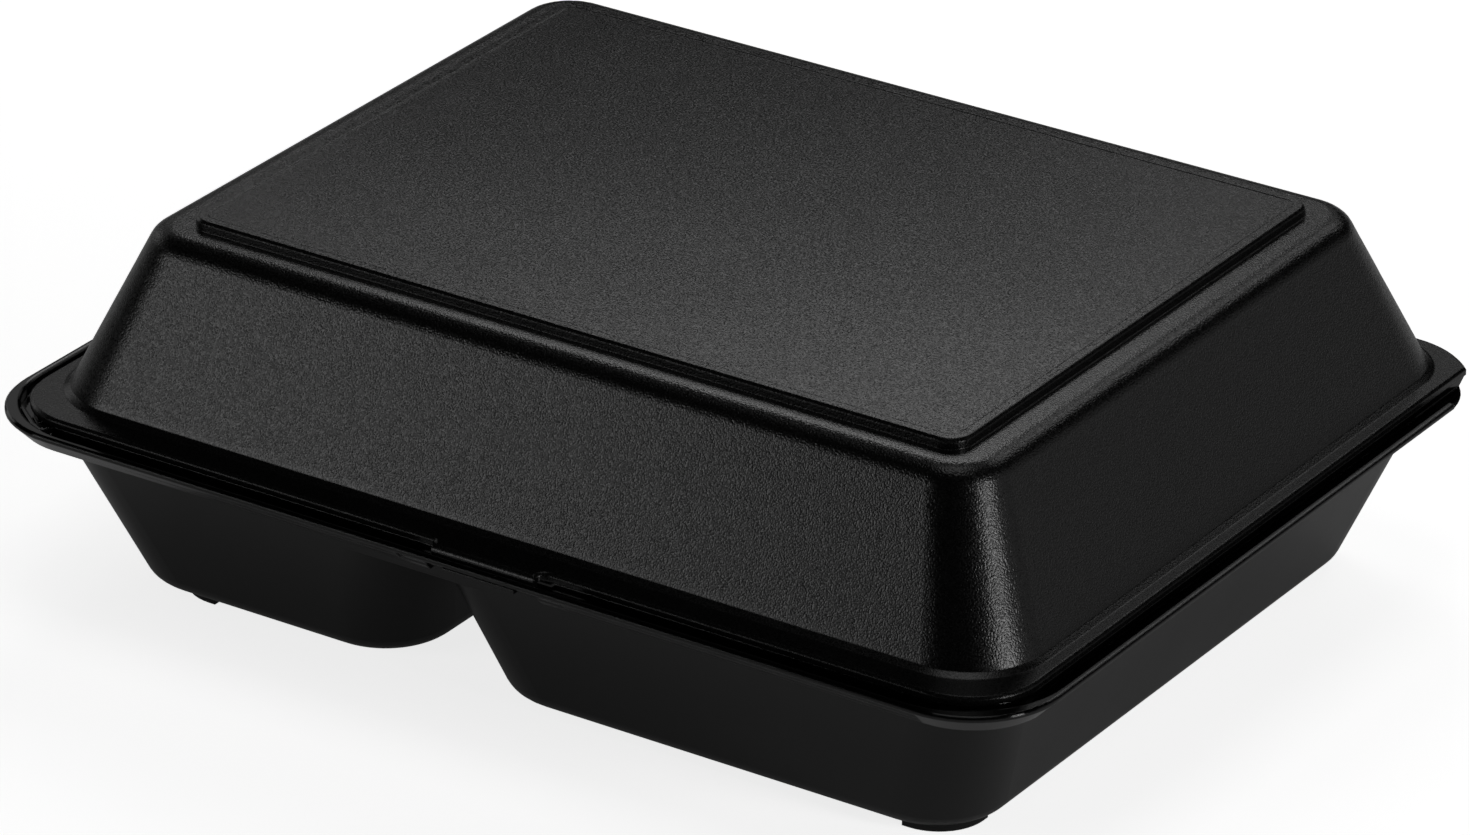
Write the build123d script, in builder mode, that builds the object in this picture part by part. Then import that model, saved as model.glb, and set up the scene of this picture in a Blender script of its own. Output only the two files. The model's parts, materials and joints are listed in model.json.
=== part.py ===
from build123d import *
import os
from math import cos, radians, tan

# Reusable take-away meal box with two compartments and a hinged lid, shown closed.
# Sizes are in mm. X runs along the box, the latch is at -Y, the hinge at +Y, and the table is Z = 0.
# The origin is the middle of the box on the table.

os.makedirs("parts", exist_ok=True)

# Overall sizes
rim_length = 254.0
rim_depth = 199.9
box_height = 82.6
wall = 1.8
clearance = 0.4

# Heights above the table
foot_height = 1.2
web_height = 31.6
rim_underside = 37.9
gutter_floor = 39.9
seat_top = 41.9
lip_top = 42.5

# Bowls of the tray
rim_side = 9.85
rim_front = 9.0
rim_back = 3.2
bowl_draft = 19.9
bowl_corner = 18.0
floor_round = 6.0
divider_x = -21.5
channel_top = 1.2
channel_floor = 18.6

# Rim of the tray
rim_corner = 20.5
rim_flare = 3.4
rim_band = 1.1
lip_width = 1.8
lip_inner_corner = 22.5
lip_bevel = 0.5
gutter_width = 4.2
stop_angle = 23.0
stop_width = 3.0
rib_angle = 37.0
rib_width = 0.9
rib_length = 13.6

# Feet of the tray
foot_inset = 2.8
small_foot_inset = 9.5
foot_corner = 11.0
foot_width = 2.6
foot_run = 12.5

# Lid
flange_thickness = 1.8
flange_overhang = 0.9
flange_side = 4.0
flange_front = 6.9
flange_back = 2.6
flange_corner = 16.0
flange_bevel = 0.6
foot_bevel = 1.0
lid_draft = 23.2
lid_foot_corner = 17.5
lid_shoulder_corner = 11.4
shoulder_round = 5.5
plateau_side = 8.1
plateau_front = 6.9
plateau_back = 7.9
plateau_step = 2.3
plateau_corner = 5.0
plateau_bevel = 0.6
panel_border = 2.6
panel_depth = 0.15

# Latch
latch_x = 2.5
window_width = 40.0
strip_height = 1.5
slot_gap = 1.0
tab_width = 25.0
tab_root = 2.0
tab_round = 1.5
tongue_thickness = 1.5
hook_width = 17.5
hook_height = 0.9
hook_reach = 1.5

# Hinge film, half of it on each piece
hinge_length = 200.0
hinge_reach = 1.2
film_thickness = 0.5

# Places that follow from the sizes above
front_y = -(rim_depth + hinge_reach) / 2
back_y = front_y + rim_depth
rim_y = (front_y + back_y) / 2
slope_wall = wall / cos(radians(bowl_draft))
lid_slope_wall = wall / cos(radians(lid_draft))
crest_z = web_height + wall
flange_bottom = seat_top + clearance
flange_top = flange_bottom + flange_thickness
shoulder_z = box_height - plateau_step
flange_inset = lip_width + gutter_width - flange_overhang
lid_length = rim_length - 2 * (flange_inset + flange_side)
flange_front_y = front_y + flange_inset
lid_front = flange_front_y + flange_front
lid_back = back_y - flange_back
lid_depth = lid_back - lid_front
lid_y = (lid_front + lid_back) / 2
strip_bottom = lip_top - strip_height
hook_top = strip_bottom - clearance
tab_y = front_y + lip_width + clearance
lip_end = back_y - rim_corner - lip_width / 2


def rim_outline(inset=0.0):
    """Rounded rectangle that follows the rim's outer edge at a distance inside it."""
    with Locations((0, rim_y)):
        return RectangleRounded(rim_length - 2 * inset, rim_depth - 2 * inset, rim_corner - inset)


def lid_side(inset, corner, mode):
    """Area inside the rim's left, front and right edge, with its own front corners, running out at the back."""
    with Locations((0, front_y + inset)):
        return RectangleRounded(rim_length - 2 * inset, rim_depth + corner, corner,
                                align=(Align.CENTER, Align.MIN), mode=mode)


def ahead_of(limit):
    """Keeps what lies in front of a limit along Y."""
    with Locations((0, limit)):
        return Rectangle(rim_length, rim_depth, align=(Align.CENTER, Align.MAX), mode=Mode.INTERSECT)


def wall_shift(height):
    """How far a bowl's wall has come in at a height, measured from the rim's underside."""
    return (rim_underside - height) * tan(radians(bowl_draft))


def channel_half(height):
    """Half the width of the channel between the bowls, outside the walls, at a height."""
    rise = (height - foot_height) / (web_height - foot_height)
    return (channel_floor + (channel_top - channel_floor) * rise) / 2


def walls_y(height):
    """Front and back wall of the bowls at a height, outside."""
    return front_y + rim_front + wall_shift(height), back_y - rim_back - wall_shift(height)


def both_bowls(height):
    side = rim_length / 2 - rim_side - wall_shift(height)
    return -side, side


def small_bowl(height):
    return both_bowls(height)[0], divider_x - channel_half(height)


def large_bowl(height):
    return divider_x + channel_half(height), both_bowls(height)[1]


def taper(walls, inset, low, high):
    """Outline between two walls that lean, from a low to a high level, with both walls moved in by inset."""
    low_start, low_end = walls(low)
    high_start, high_end = walls(high)
    return Polygon((low_start + inset, low), (low_end - inset, low), (high_end - inset, high),
                   (high_start + inset, high), align=None)


def bowl(span, inset, low, high, edge_round=0.0):
    """Tapered block between two heights. Span gives its left and right wall, and inset moves every wall in."""
    with BuildPart(mode=Mode.PRIVATE) as block:
        with BuildSketch(Plane.XZ):
            taper(span, inset, low, high)
        extrude(amount=rim_depth, both=True)
        with BuildSketch(Plane.YZ):
            taper(walls_y, inset, low, high)
        extrude(amount=rim_length, both=True, mode=Mode.INTERSECT)
        fillet(block.edges().filter_by(Plane.XY, reverse=True), bowl_corner - inset)
        if edge_round:
            fillet(block.faces().sort_by(Axis.Z)[0].edges(), edge_round)
    return block.part


def dome(inset, low, high, edge_round):
    """Tapered cover of the lid with a round shoulder, moved in by inset on its sides. Its corners narrow upwards."""
    ends = []
    for height in (low, high):
        rise = (height - flange_top) / (shoulder_z - flange_top)
        shift = inset + (height - flange_top) * tan(radians(lid_draft))
        corner = lid_foot_corner + (lid_shoulder_corner - lid_foot_corner) * rise - inset
        with BuildSketch(Plane.XY.offset(height), mode=Mode.PRIVATE) as end:
            with Locations((0, lid_y)):
                RectangleRounded(lid_length - 2 * shift, lid_depth - 2 * shift, corner)
        ends.append(end.sketch.face())
    sides = []
    for lower, upper in zip(*(end.outer_wire().edges() for end in ends)):
        if lower.geom_type == GeomType.LINE:
            sides.append(Face(Wire.make_polygon([lower @ 0, lower @ 1, upper @ 1, upper @ 0])))
        else:
            sides.append(Face.make_surface_from_curves(lower, upper))
    with BuildPart(mode=Mode.PRIVATE) as block:
        add(Solid(Shell(sides + ends)))
        fillet(block.faces().sort_by(Axis.Z)[-1].edges(), edge_round)
    return block.part


def plateau(inset):
    """Rounded rectangle of the raised plateau, moved in by inset."""
    shift = (shoulder_z - flange_top) * tan(radians(lid_draft)) + inset
    length = lid_length - 2 * (plateau_side + shift)
    depth = lid_depth - plateau_front - plateau_back - 2 * shift
    with Locations((0, lid_front + plateau_front + shift)):
        return RectangleRounded(length, depth, plateau_corner - inset, align=(Align.CENTER, Align.MIN))


# Lip round the left, front and right of the lid, with a round nose at each end
with BuildSketch() as lip_plan:
    rim_outline()
    lid_side(lip_width, lip_inner_corner, Mode.SUBTRACT)
    ahead_of(lip_end)
    with Locations((0, lip_end)):
        with GridLocations(rim_length - lip_width, 0, 2, 1):
            Circle(lip_width / 2)

with BuildPart() as lip:
    with BuildSketch(Plane.XY.offset(lip_top - rim_band)):
        add(lip_plan.sketch)
    extrude(amount=rim_band)
    chamfer(lip.faces().sort_by(Axis.Z)[-1].edges(), lip_bevel)

with BuildPart() as base_tray:
    # Two bowls that hang from one shallow zone under the rim
    add(bowl(both_bowls, 0, web_height, seat_top))
    add(bowl(small_bowl, 0, foot_height, web_height, floor_round))
    add(bowl(large_bowl, 0, foot_height, web_height, floor_round))

    # Rim that flares out to an upright band
    with BuildSketch(Plane.XY.offset(rim_underside)):
        rim_outline(rim_flare)
    with BuildSketch(Plane.XY.offset(lip_top - rim_band)):
        rim_outline()
    loft(ruled=True)
    with BuildSketch(Plane.XY.offset(lip_top - rim_band)):
        rim_outline()
    extrude(amount=seat_top - lip_top + rim_band)

    # Insides of the bowls
    add(bowl(both_bowls, slope_wall, crest_z, lip_top + wall), mode=Mode.SUBTRACT)
    add(bowl(small_bowl, slope_wall, foot_height + wall, crest_z, floor_round - wall), mode=Mode.SUBTRACT)
    add(bowl(large_bowl, slope_wall, foot_height + wall, crest_z, floor_round - wall), mode=Mode.SUBTRACT)

    # Gutter between the lip and the seat of the lid, which runs out at the back corners
    with BuildSketch(Plane.XY.offset(gutter_floor)):
        rim_outline()
        lid_side(lip_width + gutter_width, flange_corner - flange_overhang, Mode.SUBTRACT)
        add(lip_plan.sketch, mode=Mode.SUBTRACT)
    extrude(amount=lip_top - gutter_floor, mode=Mode.SUBTRACT)
    add(lip.part)

    # Stop and thin rib that cross the gutter at each front corner
    with BuildSketch(Plane.XY.offset(gutter_floor)):
        for side in (-1, 1):
            with Locations((side * (rim_length / 2 - lip_width - lip_inner_corner),
                            front_y + lip_width + lip_inner_corner)):
                with PolarLocations(lip_inner_corner - gutter_width / 2, 1, 270 + side * stop_angle):
                    Rectangle(gutter_width + lip_width, stop_width)
                with PolarLocations(lip_inner_corner - rib_width, 1, 270 + side * rib_angle):
                    Rectangle(rib_width, rib_length)
    extrude(amount=seat_top - gutter_floor)

    # Latch window under a strip of the lip, and the slot for the tongue behind it
    with BuildSketch(Plane.XY.offset(strip_bottom)):
        with Locations((latch_x, tab_y)):
            Rectangle(window_width, lip_width + clearance, align=(Align.CENTER, Align.MAX))
            Rectangle(tab_width + 2 * slot_gap, tongue_thickness + slot_gap, align=(Align.CENTER, Align.MIN))
    extrude(amount=rim_underside - strip_bottom, mode=Mode.SUBTRACT)

    # Ridge feet at the four corners of the bottom, the small bowl's ones further in from its side
    left, right = both_bowls(foot_height)
    front, back = walls_y(foot_height)
    length = right - left - foot_inset - small_foot_inset
    depth = back - front - 2 * foot_inset
    with BuildSketch(Plane.XY):
        with Locations(((left + small_foot_inset + right - foot_inset) / 2, (front + back) / 2)):
            RectangleRounded(length, depth, foot_corner)
            RectangleRounded(length - 2 * foot_width, depth - 2 * foot_width, foot_corner - foot_width,
                             mode=Mode.SUBTRACT)
            Rectangle(length - 2 * foot_run, depth, mode=Mode.SUBTRACT)
            Rectangle(length, depth - 2 * foot_run, mode=Mode.SUBTRACT)
    extrude(amount=foot_height + wall / 2)

    # Half of the hinge film
    with BuildSketch(Plane.XY.offset(seat_top - film_thickness)):
        with Locations((0, back_y + hinge_reach)):
            Rectangle(hinge_length, hinge_reach + film_thickness, align=(Align.CENTER, Align.MAX))
    extrude(amount=film_thickness)

with BuildPart() as lid:
    # Flange inside the lip, which comes out to the rim's edge at the back, with the latch tab in front
    with BuildSketch(Plane.XY.offset(flange_bottom)):
        rim_outline()
        lid_side(flange_inset, flange_corner, Mode.INTERSECT)
        with Locations((latch_x, flange_front_y)):
            Rectangle(tab_width, flange_front_y - tab_y, align=(Align.CENTER, Align.MAX))
            Rectangle(tab_width + 2 * tab_root, tab_root, align=(Align.CENTER, Align.MAX))
        with Locations((latch_x, flange_front_y - tab_root)):
            with GridLocations(tab_width + 2 * tab_root, 0, 2, 1):
                Circle(tab_root, mode=Mode.SUBTRACT)
    extrude(amount=flange_thickness)
    chamfer(lid.faces().sort_by(Axis.Z)[-1].edges(), flange_bevel)

    # Rounded front of the tab
    with BuildSketch(Plane.YZ.offset(latch_x - tab_width / 2 - tab_root)):
        with Locations((tab_y, flange_top)):
            Rectangle(tab_round, tab_round, align=(Align.MIN, Align.MAX))
        with Locations((tab_y + tab_round, flange_top - tab_round)):
            Circle(tab_round, mode=Mode.SUBTRACT)
    extrude(amount=tab_width + 2 * tab_root, mode=Mode.SUBTRACT)

    # Tongue that goes down behind the strip, and its hook under the strip
    with BuildSketch(Plane.XY.offset(hook_top - hook_height)):
        with Locations((latch_x, tab_y)):
            Rectangle(tab_width, tongue_thickness, align=(Align.CENTER, Align.MIN))
    extrude(amount=flange_bottom - hook_top + hook_height)
    with BuildSketch(Plane.XY.offset(hook_top - hook_height)):
        with Locations((latch_x, tab_y)):
            Rectangle(hook_width, hook_reach, align=(Align.CENTER, Align.MAX))
    extrude(amount=hook_height)

    # Cover, raised plateau and the hollow under them
    add(dome(0, flange_bottom, shoulder_z, shoulder_round))
    with BuildSketch(Plane.XY.offset(shoulder_z)):
        plateau(0)
    extrude(amount=plateau_step)
    add(dome(lid_slope_wall, flange_bottom, shoulder_z - wall, shoulder_round - wall), mode=Mode.SUBTRACT)
    with BuildSketch(Plane.XY.offset(shoulder_z - wall)):
        plateau(wall)
    extrude(amount=plateau_step, mode=Mode.SUBTRACT)

    # Bevelled edges, and the sunk panel in the plateau
    chamfer(lid.faces().sort_by(Axis.Z)[-1].edges(), plateau_bevel)
    with BuildSketch(Plane.XY.offset(box_height - panel_depth)):
        plateau(panel_border)
    extrude(amount=panel_depth, mode=Mode.SUBTRACT)
    low_faces = lid.faces().filter_by(Plane.XY).filter_by_position(Axis.Z, flange_bottom, flange_top + clearance)
    chamfer(low_faces.sort_by(Axis.Z)[-1].inner_wires()[0].edges(), foot_bevel)

    # Half of the hinge film
    with BuildSketch(Plane.XY.offset(flange_bottom)):
        with Locations((0, back_y + hinge_reach)):
            Rectangle(hinge_length, hinge_reach + film_thickness, align=(Align.CENTER, Align.MAX))
    extrude(amount=film_thickness)

base_tray.part.label = "base_tray"
export_step(base_tray.part, "parts/base_tray.step")
lid.part.label = "lid"
export_step(lid.part, "parts/lid.step")
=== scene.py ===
"""Finish, studio and camera for a reusable take-away meal box with a hinged lid."""

import json
from math import cos, pi, radians, sin

import bmesh
import bpy
from bpy.props import FloatProperty, FloatVectorProperty, PointerProperty
from bpy.types import Operator, Panel, PropertyGroup
from mathutils import Matrix, Vector


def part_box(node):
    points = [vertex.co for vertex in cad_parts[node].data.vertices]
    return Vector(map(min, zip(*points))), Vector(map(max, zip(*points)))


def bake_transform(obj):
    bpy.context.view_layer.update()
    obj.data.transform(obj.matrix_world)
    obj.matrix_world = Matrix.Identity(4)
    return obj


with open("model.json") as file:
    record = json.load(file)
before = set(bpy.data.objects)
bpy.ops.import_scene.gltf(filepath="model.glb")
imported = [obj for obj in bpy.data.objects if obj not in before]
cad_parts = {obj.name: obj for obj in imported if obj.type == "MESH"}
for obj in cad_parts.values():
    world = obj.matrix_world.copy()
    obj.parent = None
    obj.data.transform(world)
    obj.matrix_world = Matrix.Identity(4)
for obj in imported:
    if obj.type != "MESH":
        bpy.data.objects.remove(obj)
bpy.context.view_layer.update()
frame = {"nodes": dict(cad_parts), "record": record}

bl_info = {
    "name": "Reusable meal box",
    "version": (1, 0, 0),
    "blender": (4, 5, 0),
    "location": "View3D > Sidebar > Meal Box",
    "description": "Dresses a two-compartment meal box and sets up its studio",
    "category": "Object",
}

MM = 0.001
WHITE = (1.0, 1.0, 1.0, 1.0)

# Polypropylene: its refractive index, and the number of rays that round off a soft edge
PLASTIC_IOR = 1.49
EDGE_SAMPLES = 6

# Lid's flange: its top above the tray's lip, the share of the grain that it keeps, and the height above it
# over which the walls come to their full grain
FLANGE_RISE = 1.6 * MM
FLANGE_GRAIN = 0.25
FLANGE_FADE = 3 * MM
# Lid's plateau: the depths below its top between which the top's open grain takes over from the walls'
PANEL_FADE_LOW = 0.6 * MM
PANEL_FADE_HIGH = 0.3 * MM
# Lid's pits: the part of the noise's range that counts, and how far it moves the roughness up and down
PIT_LOW = 0.3
PIT_HIGH = 0.7
PIT_SATIN = 0.06

# Tray's rim: the height of its lip above its underside, and how far its polish fades above and below the
# underside
RIM_HEIGHT = 4.6 * MM
POLISH_FADE = 1 * MM
# Tray's flow marks: how many go to one of the lid's waves, the share of the waves' depth that they have, and
# how far they move the roughness up and down
FLOW_PER_WAVE = 2.0
FLOW_DEPTH = 0.5
FLOW_SATIN = 0.04
# Radius of the tray's soft edges, in radii of the lid's
TRAY_EDGE = 1.5

# Section of the hinge web in mm from the fold line, back and up. Its ends are sunk in the two halves.
WEB_SECTION = (
    (-0.02, -0.3), (-0.02, -0.1), (-0.02, 0.1), (-0.02, 0.3),
    (-0.3, 0.3), (-0.12, 0.1), (-0.12, -0.1), (-0.3, -0.3))

# Width of the image in pixels and of the camera's sensor in mm
IMAGE_WIDTH = 1470.0
SENSOR_WIDTH = 36.0

# Half of the floor's width, and how far behind the box the floor's lighter sweep starts and ends, in metres
FLOOR_HALF = 6.0
SWEEP_START = 0.25
SWEEP_END = 0.7
# What the floor adds to its own brightness: up to white for the camera, and in the box's gloss, where the
# sweep of floor behind the box is lighter than the floor near it
FLOOR_LIFT = 0.8
FLOOR_IN_GLOSS = 0.06
SWEEP_IN_GLOSS = 0.18

# Soft lamps: name, centre, width and height in metres, and radiance, where 1 is the white of the picture.
# They all face one point in the box.
LAMP_TARGET = (0.0, 0.0, 0.045)
LAMPS = (
    ("back_softbox", (-0.33, 0.52, 0.60), 0.38, 0.22, 3.0),
    ("back_right_softbox", (0.12, 0.80, 0.74), 0.40, 0.30, 1.5),
    ("back_low_strip", (0.75, 0.90, 0.20), 0.50, 0.26, 0.15),
    ("front_softbox", (-0.78, -1.02, 0.32), 0.56, 0.32, 2.6),
    ("right_strip", (1.08, -0.16, 0.34), 0.22, 0.50, 9.0),
    ("overhead_softbox", (0.0, 0.0, 1.30), 0.60, 0.60, 1.1),
    ("back_low_panel", (-0.22, 0.75, 0.38), 0.24, 0.14, 0.3),
    ("left_back_panel", (-0.75, 0.50, 0.41), 0.40, 0.30, 0.3),
    ("left_panel", (-1.20, 0.20, 0.40), 0.60, 0.45, 0.6),
    ("right_back_panel", (1.15, 0.60, 0.45), 0.60, 0.45, 0.35),
)


def linear(hex_colour):
    """Linear RGBA of an sRGB hex colour such as #0a0a0b."""
    channels = [int(hex_colour[place:place + 2], 16) / 255 for place in (1, 3, 5)]
    return tuple(c / 12.92 if c <= 0.04045 else ((c + 0.055) / 1.055) ** 2.4 for c in channels) + (1.0,)


class MealBoxFinish(PropertyGroup):
    """Colours and surface sizes of the moulded plastic."""
    black: FloatVectorProperty(
        name="Black", description="Colour of the black polypropylene", subtype="COLOR", size=4,
        min=0.0, max=1.0, default=linear("#060606"))
    grain: FloatProperty(
        name="Grain", description="Width of one pit of the lid's spark-eroded grain",
        default=0.36 * MM, min=0.05 * MM, unit="LENGTH", precision=5)
    grain_depth: FloatProperty(
        name="Grain depth", description="Height of the grain's bump on the walls",
        default=0.07 * MM, min=0.0, unit="LENGTH", precision=5)
    panel_grain: FloatProperty(
        name="Panel grain", description="How far the top panel's pits tip its surface",
        default=0.18, min=0.0)
    wave: FloatProperty(
        name="Wave", description="Length of the cooled panel's slight waves", default=70 * MM, min=1 * MM,
        unit="LENGTH")
    wave_depth: FloatProperty(
        name="Wave depth", description="Height of the cooled panel's slight waves",
        default=0.25 * MM, min=0.0, unit="LENGTH", precision=5)
    edge: FloatProperty(
        name="Edge", description="Radius of the lid's soft edges",
        default=0.4 * MM, min=0.0, unit="LENGTH", precision=5)
    hinge_length: FloatProperty(
        name="Hinge length", description="Length of the hinge's thin web",
        default=200 * MM, min=1 * MM, unit="LENGTH")
    lid_roughness: FloatProperty(
        name="Lid roughness", description="Roughness of the grained lid", subtype="FACTOR",
        default=0.29, min=0.0, max=1.0)
    tray_roughness: FloatProperty(
        name="Tray roughness", description="Roughness of the satin bowls", subtype="FACTOR",
        default=0.34, min=0.0, max=1.0)
    rim_roughness: FloatProperty(
        name="Rim roughness", description="Roughness of the polished rim", subtype="FACTOR",
        default=0.1, min=0.0, max=1.0)


class MealBoxStudio(PropertyGroup):
    """Camera, lamps and floor."""
    azimuth: FloatProperty(
        name="Azimuth", description="Camera's turn round the box from the latch side", subtype="ANGLE",
        default=radians(33.155))
    elevation: FloatProperty(
        name="Elevation", description="Camera's angle above the table", subtype="ANGLE",
        default=radians(25.957))
    roll: FloatProperty(
        name="Roll", description="Camera's tilt about its axis", subtype="ANGLE", default=radians(0.55))
    distance: FloatProperty(
        name="Distance", description="From the camera to the point it aims at", unit="LENGTH",
        default=1.7581)
    aim: FloatVectorProperty(
        name="Aim", description="Point that the camera's axis goes through", subtype="TRANSLATION",
        default=(0.00767, -0.01394, 0.04356))
    focal_pixels: FloatProperty(
        name="Focal length", description="Focal length in pixels of the full image",
        default=8468.9, min=1.0)
    floor: FloatVectorProperty(
        name="Floor", description="Colour of the floor", subtype="COLOR", size=4, min=0.0, max=1.0,
        default=linear("#e6e6e6"))
    level: FloatProperty(
        name="Light level", description="Share of the lamps' plain level", subtype="FACTOR",
        default=1.0, min=0.0, max=2.0)


def add_node(tree, kind, values=None, links=None, **settings):
    """New node with its settings, its fixed input values and its links, by the inputs' names or places."""
    node = tree.nodes.new(kind)
    for key, value in settings.items():
        setattr(node, key, value)
    for key, value in (values or {}).items():
        node.inputs[key].default_value = value
    for key, socket in (links or {}).items():
        tree.links.new(socket, node.inputs[key])
    return node


def new_material(name):
    """Material with an empty node tree, and that tree."""
    material = bpy.data.materials.new(name)
    material.use_nodes = True
    material.node_tree.nodes.clear()
    return material, material.node_tree


def dress(node_name, material):
    """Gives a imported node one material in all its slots."""
    slots = frame["nodes"][node_name].material_slots
    if not slots:
        raise RuntimeError(f"{node_name} has no material slot")
    for slot in slots:
        slot.link = "OBJECT"
        slot.material = material


def grained_polypropylene(finish, flange_top, panel_top):
    """Black polypropylene moulded in a spark-eroded tool. Its fine pits break the sheen into a soft satin
    with specks, more openly on the top panel, and the flange is smoother. The real pits are about 0.1 mm
    wide and are drawn coarser here so that they show."""
    material, tree = new_material("polypropylene_spark_eroded")
    place = add_node(tree, "ShaderNodeTexCoord").outputs["Object"]
    height = add_node(tree, "ShaderNodeSeparateXYZ", links={"Vector": place}).outputs["Z"]

    # Slight waves of the cooled moulding over its soft edges
    soft_edge = add_node(
        tree, "ShaderNodeBevel", {"Radius": finish.edge}, samples=EDGE_SAMPLES).outputs["Normal"]
    wave = add_node(
        tree, "ShaderNodeTexNoise", {"Scale": 1.0 / finish.wave, "Detail": 1.0},
        {"Vector": place}).outputs["Fac"]
    warp = add_node(
        tree, "ShaderNodeBump", {"Strength": 1.0, "Distance": finish.wave_depth},
        {"Height": wave, "Normal": soft_edge}).outputs["Normal"]

    # Pits of the flange and the walls, as a bump
    pits = add_node(
        tree, "ShaderNodeTexNoise", {"Scale": 1.0 / finish.grain, "Detail": 0.0}, {"Vector": place}).outputs
    on_walls = add_node(
        tree, "ShaderNodeMapRange",
        {"From Min": flange_top, "From Max": flange_top + FLANGE_FADE, "To Min": FLANGE_GRAIN},
        {"Value": height}, interpolation_type="SMOOTHSTEP").outputs["Result"]
    panel_edge = {"From Min": panel_top - PANEL_FADE_LOW, "From Max": panel_top - PANEL_FADE_HIGH}
    off_panel = add_node(
        tree, "ShaderNodeMapRange", {**panel_edge, "To Min": 1.0, "To Max": 0.0},
        {"Value": height}).outputs["Result"]
    share = add_node(
        tree, "ShaderNodeMath", links={0: on_walls, 1: off_panel}, operation="MULTIPLY").outputs[0]
    centred = add_node(tree, "ShaderNodeMath", {1: 0.5}, {0: pits["Fac"]}, operation="SUBTRACT").outputs[0]
    depth = add_node(
        tree, "ShaderNodeMath", links={0: centred, 1: share}, operation="MULTIPLY").outputs[0]
    bump = add_node(
        tree, "ShaderNodeBump", {"Strength": 1.0, "Distance": finish.grain_depth},
        {"Height": depth, "Normal": warp}).outputs["Normal"]

    # Pits of the top panel, which tip its surface
    on_panel = add_node(
        tree, "ShaderNodeMapRange", {**panel_edge, "To Min": 0.0, "To Max": finish.panel_grain},
        {"Value": height}).outputs["Result"]
    way = add_node(
        tree, "ShaderNodeVectorMath", {1: (0.5, 0.5, 0.5)}, {0: pits["Color"]},
        operation="SUBTRACT").outputs[0]
    tip = add_node(
        tree, "ShaderNodeVectorMath", links={0: way, "Scale": on_panel}, operation="SCALE").outputs[0]
    tipped = add_node(tree, "ShaderNodeVectorMath", links={0: bump, 1: tip}, operation="ADD").outputs[0]
    normal = add_node(tree, "ShaderNodeVectorMath", links={0: tipped}, operation="NORMALIZE").outputs[0]

    # The pits' floors and lips also differ a little in gloss
    satin = add_node(
        tree, "ShaderNodeMapRange",
        {"From Min": PIT_LOW, "From Max": PIT_HIGH,
         "To Min": finish.lid_roughness - PIT_SATIN, "To Max": finish.lid_roughness + PIT_SATIN},
        {"Value": pits["Fac"]}).outputs["Result"]
    shader = add_node(
        tree, "ShaderNodeBsdfPrincipled", {"Base Color": finish.black, "IOR": PLASTIC_IOR},
        {"Roughness": satin, "Normal": normal}).outputs["BSDF"]
    add_node(tree, "ShaderNodeOutputMaterial", links={"Surface": shader})
    return material


def satin_polypropylene(finish, rim_underside):
    """Black polypropylene moulded in a stoned, then part polished tool. The bowls have an even, quiet satin
    and the rim a clear gloss that draws thin bright lines along its edges."""
    material, tree = new_material("polypropylene_satin_moulded")
    place = add_node(tree, "ShaderNodeTexCoord").outputs["Object"]
    height = add_node(tree, "ShaderNodeSeparateXYZ", links={"Vector": place}).outputs["Z"]
    flow = add_node(
        tree, "ShaderNodeTexNoise", {"Scale": FLOW_PER_WAVE / finish.wave, "Detail": 3.0},
        {"Vector": place}).outputs["Fac"]
    satin = add_node(
        tree, "ShaderNodeMapRange",
        {"To Min": finish.tray_roughness - FLOW_SATIN, "To Max": finish.tray_roughness + FLOW_SATIN},
        {"Value": flow}).outputs["Result"]
    polished = add_node(
        tree, "ShaderNodeMapRange",
        {"From Min": rim_underside - POLISH_FADE, "From Max": rim_underside + POLISH_FADE},
        {"Value": height}, interpolation_type="SMOOTHSTEP").outputs["Result"]
    roughness = add_node(
        tree, "ShaderNodeMix", {"B": finish.rim_roughness},
        {"Factor": polished, "A": satin}).outputs["Result"]
    soft_edge = add_node(
        tree, "ShaderNodeBevel", {"Radius": TRAY_EDGE * finish.edge},
        samples=EDGE_SAMPLES).outputs["Normal"]
    warp = add_node(
        tree, "ShaderNodeBump", {"Strength": 1.0, "Distance": FLOW_DEPTH * finish.wave_depth},
        {"Height": flow, "Normal": soft_edge}).outputs["Normal"]
    shader = add_node(
        tree, "ShaderNodeBsdfPrincipled", {"Base Color": finish.black, "IOR": PLASTIC_IOR},
        {"Roughness": roughness, "Normal": warp}).outputs["BSDF"]
    add_node(tree, "ShaderNodeOutputMaterial", links={"Surface": shader})
    return material


def painted_board(colour):
    """Matt painted board of the floor: even, without gloss. The camera sees it lifted to white, with the
    shadow kept, and the box's gloss sees it lighter behind the box."""
    material, tree = new_material("painted_board_matt")
    ray = add_node(tree, "ShaderNodeLightPath").outputs
    place = add_node(tree, "ShaderNodeTexCoord").outputs["Object"]
    behind = add_node(tree, "ShaderNodeSeparateXYZ", links={"Vector": place}).outputs["Y"]
    sweep = add_node(
        tree, "ShaderNodeMapRange",
        {"From Min": SWEEP_START, "From Max": SWEEP_END, "To Min": FLOOR_IN_GLOSS, "To Max": SWEEP_IN_GLOSS},
        {"Value": behind}, interpolation_type="SMOOTHSTEP").outputs["Result"]
    mirrored = add_node(
        tree, "ShaderNodeMath", links={0: ray["Is Glossy Ray"], 1: sweep}, operation="MULTIPLY").outputs[0]
    lift = add_node(
        tree, "ShaderNodeMath", {1: FLOOR_LIFT}, {0: ray["Is Camera Ray"], 2: mirrored},
        operation="MULTIPLY_ADD").outputs[0]
    paint = add_node(tree, "ShaderNodeBsdfDiffuse", {"Color": colour}).outputs["BSDF"]
    glow = add_node(tree, "ShaderNodeEmission", {"Color": WHITE}, {"Strength": lift}).outputs["Emission"]
    both = add_node(tree, "ShaderNodeAddShader", links={0: paint, 1: glow}).outputs["Shader"]
    add_node(tree, "ShaderNodeOutputMaterial", links={"Surface": both})
    return material


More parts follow.
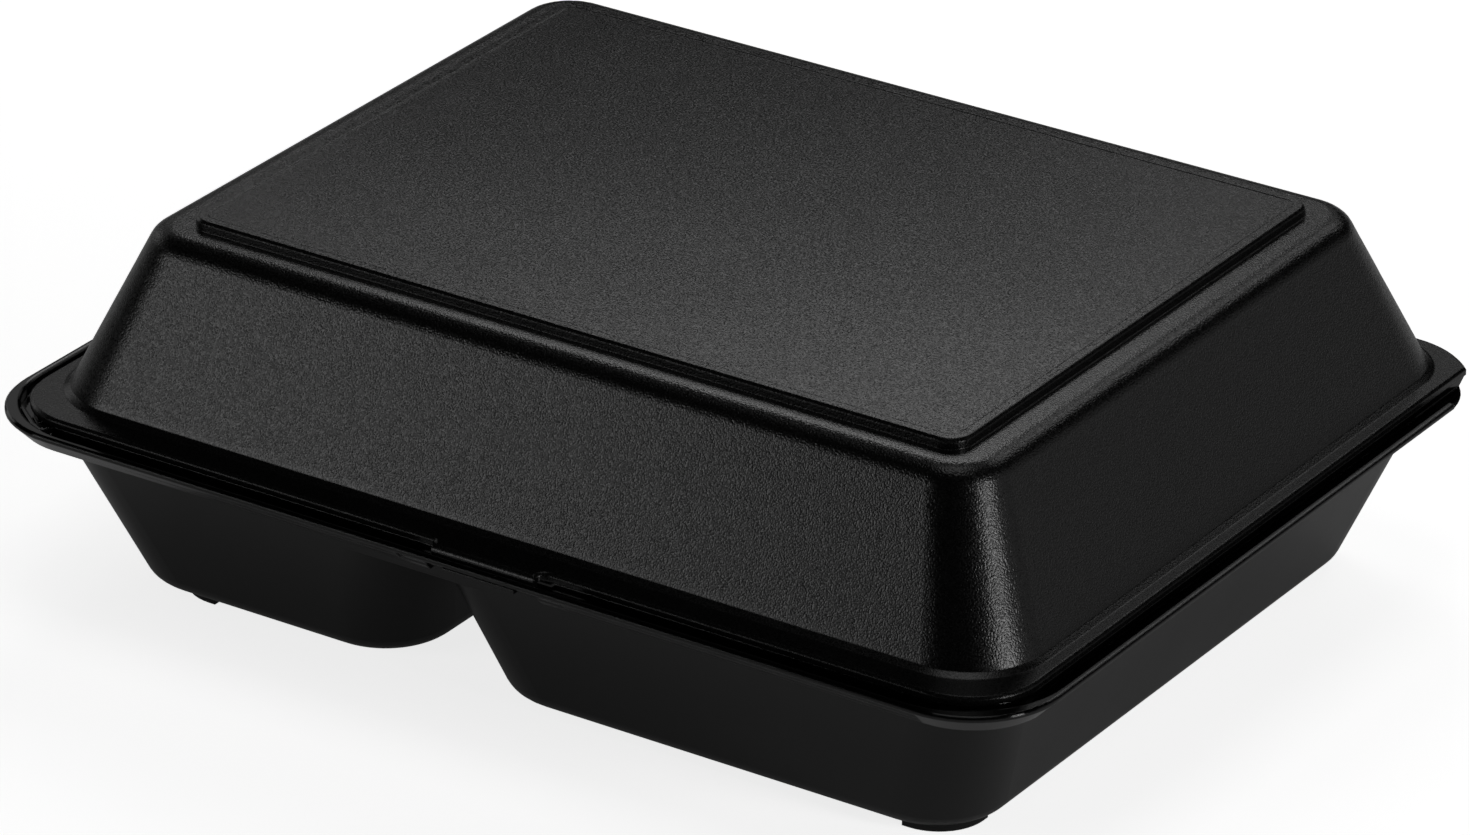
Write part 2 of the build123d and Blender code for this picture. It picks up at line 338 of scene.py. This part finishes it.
class MEALBOX_OT_lid(Operator):
    """Gives the lid its grained black plastic"""
    bl_idname = "mealbox.lid"
    bl_label = "Finish Lid"

    def execute(self, context):
        lip_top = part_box("base_tray")[1].z
        panel_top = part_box("lid")[1].z
        plastic = grained_polypropylene(context.scene.mealbox_finish, lip_top + FLANGE_RISE, panel_top)
        dress("lid", plastic)
        return {"FINISHED"}


class MEALBOX_OT_tray(Operator):
    """Gives the tray its satin black plastic with a polished rim"""
    bl_idname = "mealbox.tray"
    bl_label = "Finish Tray"

    def execute(self, context):
        lip_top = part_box("base_tray")[1].z
        plastic = satin_polypropylene(context.scene.mealbox_finish, lip_top - RIM_HEIGHT)
        dress("base_tray", plastic)
        return {"FINISHED"}


class MEALBOX_OT_hinge(Operator):
    """Makes the thin web that folds between the tray's and the lid's halves of the hinge"""
    bl_idname = "mealbox.hinge"
    bl_label = "Make Hinge Web"

    def execute(self, context):
        axis = Vector(frame["record"]["behaviour"]["joints"][0]["pos_m"])
        half = 0.5 * context.scene.mealbox_finish.hinge_length
        shape = bmesh.new()
        ends = []
        for x in (-half, half):
            ends.append([shape.verts.new(axis + Vector((x, y * MM, z * MM))) for y, z in WEB_SECTION])
        for place in range(len(WEB_SECTION)):
            after = (place + 1) % len(WEB_SECTION)
            shape.faces.new((ends[0][place], ends[0][after], ends[1][after], ends[1][place]))
        shape.faces.new(reversed(ends[0]))
        shape.faces.new(ends[1])
        bmesh.ops.recalc_face_normals(shape, faces=shape.faces)
        mesh = bpy.data.meshes.new("hinge_web")
        shape.to_mesh(mesh)
        shape.free()
        mesh.materials.append(frame["nodes"]["base_tray"].material_slots[0].material)
        web = bpy.data.objects.new("hinge_web", mesh)
        context.scene.collection.objects.link(web)
        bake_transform(web)
        return {"FINISHED"}


def floor_sheet():
    """Flat square floor, without its paint."""
    mesh = bpy.data.meshes.new("floor")
    shape = bmesh.new()
    bmesh.ops.create_grid(shape, x_segments=1, y_segments=1, size=FLOOR_HALF)
    shape.to_mesh(mesh)
    shape.free()
    return bpy.data.objects.new("floor", mesh)


def white_surround():
    """World that is white to the camera and gives the box no light."""
    world = bpy.data.worlds.new("studio_surround")
    world.use_nodes = True
    tree = world.node_tree
    tree.nodes.clear()
    seen = add_node(tree, "ShaderNodeLightPath").outputs["Is Camera Ray"]
    sky = add_node(tree, "ShaderNodeBackground", {"Color": WHITE}, {"Strength": seen}).outputs["Background"]
    add_node(tree, "ShaderNodeOutputWorld", links={"Surface": sky})
    return world


def softbox(name, centre, width, height, radiance):
    """Rectangular soft lamp of an even radiance that faces the box."""
    lamp = bpy.data.lights.new(name, "AREA")
    lamp.shape = "RECTANGLE"
    lamp.size = width
    lamp.size_y = height
    lamp.energy = radiance * pi * width * height
    holder = bpy.data.objects.new(name, lamp)
    holder.location = centre
    holder.rotation_mode = "QUATERNION"
    holder.rotation_quaternion = (Vector(LAMP_TARGET) - Vector(centre)).to_track_quat("-Z", "Y")
    return holder


def camera_matrix(studio):
    """Camera's place and turn for an azimuth, an elevation and a roll about the aim."""
    azimuth, elevation, roll = studio.azimuth, studio.elevation, studio.roll
    back = Vector((sin(azimuth) * cos(elevation), -cos(azimuth) * cos(elevation), sin(elevation)))
    level = Vector((cos(azimuth), sin(azimuth), 0.0))
    rise = back.cross(level)
    right = level * cos(roll) + rise * sin(roll)
    up = rise * cos(roll) - level * sin(roll)
    turn = Matrix((right, up, back)).transposed().to_4x4()
    return Matrix.Translation(Vector(studio.aim) + back * studio.distance) @ turn


class MEALBOX_OT_stage(Operator):
    """Makes the floor, the soft lamps, the white surround and the camera"""
    bl_idname = "mealbox.stage"
    bl_label = "Make Studio"

    def execute(self, context):
        scene = context.scene
        studio = scene.mealbox_studio
        scene.view_settings.view_transform = "Standard"

        floor = floor_sheet()
        floor.data.materials.append(painted_board(studio.floor))
        scene.collection.objects.link(floor)

        scene.world = white_surround()
        for name, centre, width, height, radiance in LAMPS:
            scene.collection.objects.link(softbox(name, centre, width, height, radiance * studio.level))

        lens = bpy.data.cameras.new("camera")
        lens.sensor_width = SENSOR_WIDTH
        lens.lens = studio.focal_pixels / IMAGE_WIDTH * SENSOR_WIDTH
        camera = bpy.data.objects.new("camera", lens)
        camera.matrix_world = camera_matrix(studio)
        scene.collection.objects.link(camera)
        scene.camera = camera
        return {"FINISHED"}


class MEALBOX_PT_panel(Panel):
    """Sizes, colours and steps of the meal box"""
    bl_idname = "MEALBOX_PT_panel"
    bl_label = "Meal Box"
    bl_space_type = "VIEW_3D"
    bl_region_type = "UI"
    bl_category = "Meal Box"

    def draw(self, context):
        for step in STEPS:
            self.layout.operator(step.bl_idname)
        for group in (context.scene.mealbox_finish, context.scene.mealbox_studio):
            for name in group.__annotations__:
                self.layout.prop(group, name)


STEPS = (MEALBOX_OT_lid, MEALBOX_OT_tray, MEALBOX_OT_hinge, MEALBOX_OT_stage)
CLASSES = (MealBoxFinish, MealBoxStudio, *STEPS, MEALBOX_PT_panel)


def register():
    """Adds the classes, and the two groups of settings to each scene."""
    for entry in CLASSES:
        bpy.utils.register_class(entry)
    bpy.types.Scene.mealbox_finish = PointerProperty(type=MealBoxFinish)
    bpy.types.Scene.mealbox_studio = PointerProperty(type=MealBoxStudio)


def unregister():
    """Takes the settings and the classes out again."""
    del bpy.types.Scene.mealbox_studio
    del bpy.types.Scene.mealbox_finish
    for entry in reversed(CLASSES):
        bpy.utils.unregister_class(entry)


def main():
    """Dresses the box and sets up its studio."""
    register()
    bpy.ops.mealbox.lid()
    bpy.ops.mealbox.tray()
    bpy.ops.mealbox.hinge()
    bpy.ops.mealbox.stage()


if __name__ == "__main__":
    main()
